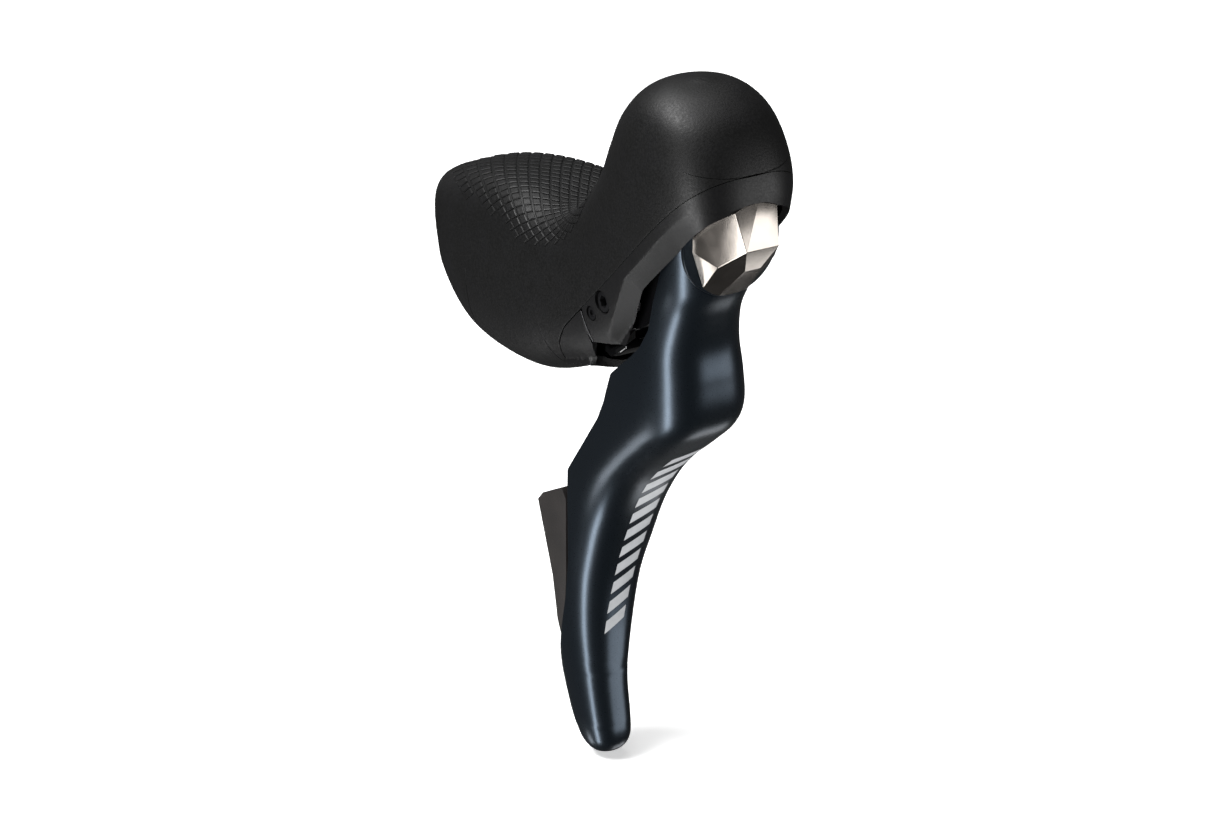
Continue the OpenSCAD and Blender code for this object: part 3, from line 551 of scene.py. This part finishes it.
def skinPatch(name, outline, shape=None):
    sides = []
    for side in (-1, 1):
        columns = []
        for t in ringSteps(*shell["rings"], shell["spacing"]):
            row = rowAt(body["rows"], t)
            span = ringSpan(row, outline)
            if span is None or span[1] - span[0] < 0.004:
                continue
            start, end = ringAngle(row, span[1]), ringAngle(row, span[0])
            arc = ringArc(row, side * start, side * end, shell["across"])
            columns.append([shape(p) for p in arc] if shape else arc)
        sides.append(drapedGrid(name + str(side), columns))
    piece = join(name, sides)
    cleanUp(piece, 0.02)
    applyModifier(piece, "SOLIDIFY", thickness=shell["wall"] * mm, offset=-1)
    near, clear, front, top = [value * mm for value in shell["clear"]]
    for vertex in piece.data.vertices:
        if vertex.co.x < front and vertex.co.z < top and near < abs(vertex.co.y) < clear:
            vertex.co.y = math.copysign(clear, vertex.co.y)
    bevelEdges(piece, shell["edgeRound"], 2, 50)
    smoothShade(piece, shell["smooth"])
    return piece


lowerEdge = body["frameSide"][4:8]


# a broad chamfer along the frame's lower edge, running out towards the front
def chamfered(point):
    near = edgeDistance(lowerEdge, point.x, point.z)
    inward = max(0, shell["chamferWide"] - near) * shell["chamferSlope"]
    inward *= max(0, min(1, (shell["chamferEnds"] - point.x) / 8))
    return Vector((point.x, point.y - math.copysign(min(inward, abs(point.y)), point.y), point.z))


frontFrame = skinPatch("front_bezel", body["frameSide"], chamfered)
# round recesses over the axle's ends and the small plug: node, radius, from y, to y
recesses = [("lever_axle", 2.85, -20, -12), ("lever_axle", 3.9, 12, 20), ("axle_plug", 1.85, -20, -12)]
for nodeName, radius, y0, y1 in recesses:
    x, _, z = middleOf(nodeName)
    bpy.ops.object.select_all(action="DESELECT")
    bpy.ops.mesh.primitive_cylinder_add(vertices=48, radius=radius * mm, depth=(y1 - y0) * mm,
                                        location=(x * mm, (y0 + y1) / 2 * mm, z * mm), rotation=(math.pi / 2, 0, 0))
    drill = bpy.context.object
    for piece in (frontFrame, hoodSkin):
        applyModifier(piece, "BOOLEAN", operation="DIFFERENCE", solver="EXACT", object=drill)
    bpy.data.objects.remove(drill)
smoothShade(frontFrame, shell["smooth"])
smoothShade(hoodSkin, hood["smooth"])
finishPiece(frontFrame, framePlastic, "housing", "bracket_plastic", "front_frame")
lowerPanel = skinPatch("side_panel", body["panelSide"])
finishPiece(lowerPanel, framePlastic, "housing", "bracket_plastic", "lower_panel")
# a thin blackened-steel strip in the seam between the frame and the lower panel: a painted highlight, put where a
# chamfer's highlight makes a light line
seamHighlightLine = {"from": (64.4, 14.2), "to": (67.3, 7.2), "wide": 0.34, "proud": 0.1, "thick": 0.3}
strip = []
for i in range(13):
    x, z = [mix(a, b, i / 12) for a, b in zip(seamHighlightLine["from"], seamHighlightLine["to"])]
    strip.append([skinPoint(x + k * seamHighlightLine["wide"], z, -1)
                  - Vector((0, seamHighlightLine["proud"] * math.sin(math.pi * k), 0)) for k in (0, 0.25, 0.5, 0.75, 1)])
# the strip's steel shine stands in for the chamfer highlight along the seam (painted highlight)
seamHighlightStrip = drapedGrid("seam_highlight_strip", strip)
applyModifier(seamHighlightStrip, "SOLIDIFY", thickness=seamHighlightLine["thick"] * mm, offset=0)
smoothShade(seamHighlightStrip, 50)
finishPiece(seamHighlightStrip, darkSteel, "housing", "dark_steel")
print("front frame and panel")


# a CAD node copied, its triangles joined up and its edges eased
def eased(look, material, bodyName, slotName):
    selectOnly(frame["nodes"][look["node"]])
    bpy.ops.object.duplicate()
    piece = named(look["name"])
    for key in list(piece.keys()):
        if key.startswith("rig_"):
            del piece[key]
    bpy.ops.object.parent_clear(type="CLEAR_KEEP_TRANSFORM")
    piece.data = piece.data.copy()
    editAll(piece)
    bpy.ops.mesh.remove_doubles(threshold=0.002 * mm)
    bpy.ops.mesh.dissolve_limited(angle_limit=math.radians(1))
    objectMode()
    bevelEdges(piece, look["edge"], look["segments"], look["angle"])
    smoothShade(piece, 32)
    return finishPiece(piece, material, bodyName, slotName, look["node"])


lowerCover = {"node": "under_cover", "name": "lower_gloss_cover", "edge": 0.7, "segments": 3, "angle": 40}
eased(lowerCover, glossPlastic, "housing", "gloss_black")
yoke = {"node": "lever_yoke", "name": "gloss_yoke", "edge": 0.45, "segments": 3, "angle": 40}
eased(yoke, glossPlastic, "yoke", "gloss_black")

# brake blade: a hollow shell, open at the rear between its two rear edges
blade = {
    # one level each: drop below the head, front x, rear x, outer y, inner y, squareness
    "rows": [
        [-10.4, 102.6, 98.6, -1.6, 1.6, 2.6],
        [-9.5, 102.6, 97.4, -4.6, 4.6, 2.6],
        [-7, 102.6, 93, -8.3, 8.3, 2.4],
        [-3.4, 102.7, 89, -10.9, 10.9, 2.4],
        [0, 102.8, 86, -12.1, 12, 2.4],
        [6, 102.8, 82, -12.2, 11.2, 2.3],
        [13, 101.8, 80, -12, 10.3, 2.2],
        [20, 98.4, 76, -11.9, 9.9, 2.3],
        [29, 95.7, 70, -12.2, 11.4, 2.5],
        [38, 95.7, 62, -12.6, 13.2, 2.7],
        [46, 95.3, 56, -12.8, 14.3, 2.8],
        [52, 92.8, 53, -12.8, 13.9, 2.8],
        [58, 86.6, 50, -12.8, 12.8, 2.8],
        [65.5, 78, 46, -12.8, 11.4, 2.8],
        [73, 71.2, 42, -12.9, 11, 2.7],
        [82, 66, 40, -13, 9.8, 2.6],
        [92, 62.8, 40, -13.3, 7.9, 2.6],
        [102, 61, 40, -13.7, 5.4, 2.5],
        [114, 61.7, 43, -14.3, 2.4, 2.4],
        [126, 64.8, 47, -15, -1.2, 2.4],
        [136, 68.2, 52.6, -15.3, -2.8, 2.4],
        [140.5, 68.8, 55.6, -14.9, -3.3, 2.3],
        [143.2, 68, 57.6, -14, -4.2, 2.2],
        [144.9, 66.4, 60, -12.4, -5.9, 2.1],
        [145.6, 64.2, 62.4, -10.2, -8, 2]],
    # rear edges in side view, [z, x] from the top down
    "nearEdge": [(60, 99), (51, 98.8), (46, 97.2), (40, 95.2), (33, 92.2), (24, 88.6), (16, 86.6), (10.8, 83.4),
                 (7, 79.6), (-0.4, 70.8), (-8.3, 68.1), (-14, 65.2), (-32.6, 51.5), (-38, 51.7), (-56.5, 52.8),
                 (-66.5, 52.3), (-81, 50.2), (-92, 52.2), (-96, 53.4), (-99, 30)],
    "farEdge": [(60, 99), (46, 99.2), (37, 97.6), (30, 94.4), (20, 90), (8, 86.4), (-2, 83.6), (-14, 79),
                (-24, 70), (-33, 61), (-41, 56.5), (-56.5, 54.4), (-66.5, 53), (-81, 50.2), (-86, 40), (-90, 30)],
    "headZ": 41.5, "wall": 1.5, "tall": 200, "around": 90, "edgeRound": 0.5, "farSquarer": 0.5,
    # the round seat that the cap stands on
    "seat": {"x0": 101.9, "x1": 103.25, "z": 41.2, "radius": 12.95, "round": 0.25}}


def bladeEdge(line, z):
    return lineAt([(-a, b) for a, b in line], -z)


def bladeOval(row):
    middle = ((row[1] + row[2]) / 2, (row[3] + row[4]) / 2)
    half = ((row[1] - row[2]) / 2, (row[4] - row[3]) / 2)
    return middle, half


# one level of the blade, from its near rear edge round the front to its far rear edge
def bladeSection(t, samples=260):
    row = rowAt(blade["rows"], t)
    z = blade["headZ"] - row[0]
    middle, half = bladeOval(row)
    cuts = [bladeEdge(blade["nearEdge"], z), bladeEdge(blade["farEdge"], z)]
    reach = []
    squareness = (row[5], row[5] + blade["farSquarer"])
    for cut, power in zip(cuts, squareness):
        c = max(-1, min(1, (cut - middle[0]) / half[0]))
        reach.append(math.acos(signedPower(c, power / 2)))
    points = []
    for i in range(samples + 1):
        a = mix(-reach[0], reach[1], i / samples)
        power = squareness[0] if a < 0 else squareness[1]
        x = middle[0] + half[0] * signedPower(math.cos(a), 2 / power)
        y = middle[1] + half[1] * signedPower(math.sin(a), 2 / power)
        points.append(Vector((x, y, z)))
    return points


def bladeSteps():
    rows = blade["rows"]
    last = len(rows) - 1
    fine = [last * i / 1200 for i in range(1201)]
    walked = [0]
    for a, b in zip(fine, fine[1:]):
        p, q = rowAt(rows, a), rowAt(rows, b)
        sideways = 0.6 * abs(p[4] - q[4]) + 0.4 * abs(p[3] - q[3])
        walked.append(walked[-1] + max(math.dist(p[:2], q[:2]), sideways))
    return evenSteps(fine, walked, blade["tall"])


columns = [evenly(bladeSection(t), blade["around"]) for t in bladeSteps()]
bladeSkin = drapedGrid("blade_shell", columns)
cleanUp(bladeSkin, 0.02)
applyModifier(bladeSkin, "SOLIDIFY", thickness=blade["wall"] * mm, offset=-1)
bevelEdges(bladeSkin, blade["edgeRound"], 3, 60)
seat = blade["seat"]
bpy.ops.object.select_all(action="DESELECT")
bpy.ops.mesh.primitive_cylinder_add(vertices=96, radius=seat["radius"] * mm, depth=(seat["x1"] - seat["x0"]) * mm,
                                    location=((seat["x0"] + seat["x1"]) / 2 * mm, 0, seat["z"] * mm),
                                    rotation=(0, math.pi / 2, 0))
capSeat = named("cap_seat")
bevelEdges(capSeat, seat["round"], 2, 50)
bladeSkin = join("blade_shell", [bladeSkin, capSeat])
smoothShade(bladeSkin, 40)
finishPiece(bladeSkin, bladeLacquer, "blade", "blade_paint", "brake_blade")
print("blade", len(bladeSkin.data.polygons))

# plain slanted bars printed on the blade's front
bars = {
    # middle of the row of bars, z and y, from the bottom up
    "line": [(-76, -6.6), (-72, -5.7), (-66.6, -4.2), (-59.5, -2.4), (-51, -1), (-43, 0.3), (-35, 0.9), (-28, 1.4),
             (-22, 2.4), (-16, 3.4)],
    "count": 11, "from": -20, "to": -74, "wide": (8, 5), "ink": 0.62, "slant": 1.5, "lift": 0.06, "across": 8}


# the place on the blade's front face at z, y, a little proud of it
def frontPoint(z, y):
    low = next((i for i in range(len(blade["rows"]) - 1) if blade["headZ"] - blade["rows"][i + 1][0] <= z), 0)
    high = low + 1
    for _ in range(30):
        t = (low + high) / 2
        if blade["headZ"] - rowAt(blade["rows"], t)[0] > z:
            low = t
        else:
            high = t
    row = rowAt(blade["rows"], t)
    middle, half = bladeOval(row)
    power = row[5] if y < middle[1] else row[5] + blade["farSquarer"]
    share = max(0, 1 - abs((y - middle[1]) / half[1]) ** power)
    return Vector((middle[0] + half[0] * share ** (1 / power) + bars["lift"], y, z))


corners, faces = [], []
step = (bars["to"] - bars["from"]) / bars["count"]
for k in range(bars["count"]):
    wide = mix(bars["wide"][0], bars["wide"][1], k / (bars["count"] - 1)) / 2
    base = len(corners)
    for i in range(bars["across"] + 1):
        across = mix(-1, 1, i / bars["across"])
        for end in (0, bars["ink"]):
            z = bars["from"] + step * (k + end) + bars["slant"] * across
            corners.append(frontPoint(z, lineAt(bars["line"], z) + wide * across) * mm)
    faces += [(base + 2 * i, base + 2 * i + 2, base + 2 * i + 3, base + 2 * i + 1) for i in range(bars["across"])]
barRow = facePiece("blade_bars", corners, faces)
if sum(face.normal.x for face in barRow.data.polygons) < 0:
    barRow.data.flip_normals()
finishPiece(barRow, printedInk, "blade", "blade_paint")
print("bars", bars["count"])

# Nickel cap: a short drum cut by planes. A facet is a point on its plane and the way that it faces,
# and a mirrored facet is cut on both sides.
cap = {
    "x0": 102.2, "x1": 121, "z": 41.2, "radius": 12.8, "taper": 0.96, "round": 0.55, "cutter": 60,
    "facets": [
        ("top", (116, 0, 43.8), (0.948, 0, 0.318)),
        ("chin", (116, 0, 43.8), (0.85, 0, -0.53)),
        ("underChin", (111.4, 0, 36.8), (0.716, 0, -0.698))],
    "mirroredFacets": [
        ("flank", (116, -4.3, 43.8), (0.44, -0.898, 0.01)),
        ("lowFlank", (116, -4.3, 43.8), (0.68, -0.45, -0.58)),
        ("side", (108.4, -9.3, 42.8), (0.33, -0.9, -0.28))]}
bpy.ops.object.select_all(action="DESELECT")
bpy.ops.mesh.primitive_cone_add(vertices=96, radius1=cap["radius"] * mm, radius2=cap["radius"] * cap["taper"] * mm,
                                depth=(cap["x1"] - cap["x0"]) * mm,
                                location=((cap["x0"] + cap["x1"]) / 2 * mm, 0, cap["z"] * mm),
                                rotation=(0, math.pi / 2, 0))
nickelCap = named("nickel_cap")
bpy.ops.object.transform_apply(location=True, rotation=True, scale=True)
cuts = [(point, way) for _, point, way in cap["facets"]]
for _, point, way in cap["mirroredFacets"]:
    cuts += [(point, way), ((point[0], -point[1], point[2]), (way[0], -way[1], way[2]))]
for point, way in cuts:
    way = Vector(way).normalized()
    bpy.ops.object.select_all(action="DESELECT")
    bpy.ops.mesh.primitive_cube_add(size=cap["cutter"] * mm,
                                    location=(Vector(point) + way * cap["cutter"] / 2) * mm,
                                    rotation=way.to_track_quat("Z", "Y").to_euler())
    slab = bpy.context.object
    applyModifier(nickelCap, "BOOLEAN", operation="DIFFERENCE", solver="EXACT", object=slab)
    bpy.data.objects.remove(slab)
bevelEdges(nickelCap, cap["round"], 4, 9)
smoothShade(nickelCap, 30)
finishPiece(nickelCap, nickelPlate, "yoke", "nickel", "head_cap")
print("cap", len(nickelCap.data.polygons))

releasePaddle = {"node": "release_paddle", "name": "paddle", "edge": 0.9, "segments": 4, "angle": 50}
eased(releasePaddle, paddlePlastic, "paddle", "paddle_plastic")
print("paddle")

# floor, camera and lights
studio = {
    "target": (51.999, 0, -19.461), "azimuth": 58.4, "elevation": 23.8, "distance": 1100, "lens": 133.9,
    "floorDrop": 0.6, "roomLight": 0.06,
    # way from the target, metres away, size across and along, watts
    "lamps": {
        "topBox": ((-0.3, -0.5, 0.9), 1.3, (0.6, 0.6), 21),
        "sideStrip": ((0.26, -0.87, -0.35), 1.2, (0.22, 1.5), 20),
        "frontBox": ((0.78, 0.58, -0.06), 1.3, (0.8, 0.8), 9),
        "overheadBox": ((-0.35, -0.1, 1), 1.5, (1.6, 1.6), 18),
        "sideCard": ((-0.4, -0.556, -0.725), 1.2, (0.3, 0.3), 1.8),
        "lowerCard": ((-0.02, 0.48, -0.88), 1.2, (0.36, 0.36), 1)}}
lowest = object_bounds()[0].z
bpy.ops.object.select_all(action="DESELECT")
bpy.ops.mesh.primitive_plane_add(size=6, location=(0, 0, 0))
floor = named("floor")
for vertex in floor.data.vertices:
    vertex.co.z = lowest - studio["floorDrop"] * mm
floor.data.materials.append(floorPaper)

target = Vector(studio["target"]) * mm
azimuth, elevation = math.radians(studio["azimuth"]), math.radians(studio["elevation"])
back = Vector((math.sin(azimuth) * math.cos(elevation), -math.cos(azimuth) * math.cos(elevation), math.sin(elevation)))
cameraData = bpy.data.cameras.new("camera")
camera = bpy.data.objects.new("camera", cameraData)
bpy.context.scene.collection.objects.link(camera)
cameraData.lens, cameraData.sensor_width = studio["lens"], 36
cameraData.clip_start, cameraData.clip_end = 0.01, 20
camera.location = target + back * studio["distance"] * mm
camera.rotation_euler = (-back).to_track_quat("-Z", "Y").to_euler()
bpy.context.scene.camera = camera

for name, (way, away, size, watts) in studio["lamps"].items():
    lampData = bpy.data.lights.new(name, "AREA")
    lampData.shape, lampData.size, lampData.size_y = "RECTANGLE", size[0], size[1]
    lampData.energy = watts
    lamp = bpy.data.objects.new(name, lampData)
    bpy.context.scene.collection.objects.link(lamp)
    way = Vector(way)
    lamp.location = target + way.normalized() * away
    lamp.rotation_euler = (-way).to_track_quat("-Z", "Y").to_euler()
    lamp.visible_camera = False
# the dark pieces neither mirror the floor nor take its light
floor.visible_diffuse = False
floor.visible_glossy = False
floor.visible_shadow = False
world = bpy.data.worlds.new("studioRoom")
world.use_nodes = True
world.node_tree.nodes["Background"].inputs["Color"].default_value = linear("#ffffff")
# the room looks white to the camera and lights the object only a little
rays = addNode(world.node_tree, "ShaderNodeLightPath")
roomLight = addNode(world.node_tree, "ShaderNodeMapRange", {"To Min": studio["roomLight"], "To Max": 1.0},
                    {"Value": rays.outputs["Is Camera Ray"]})
world.node_tree.links.new(roomLight.outputs["Result"], world.node_tree.nodes["Background"].inputs["Strength"])
bpy.context.scene.world = world
bpy.context.scene.view_settings.view_transform = "Standard"
print("studio", len(studio["lamps"]), "lamps")
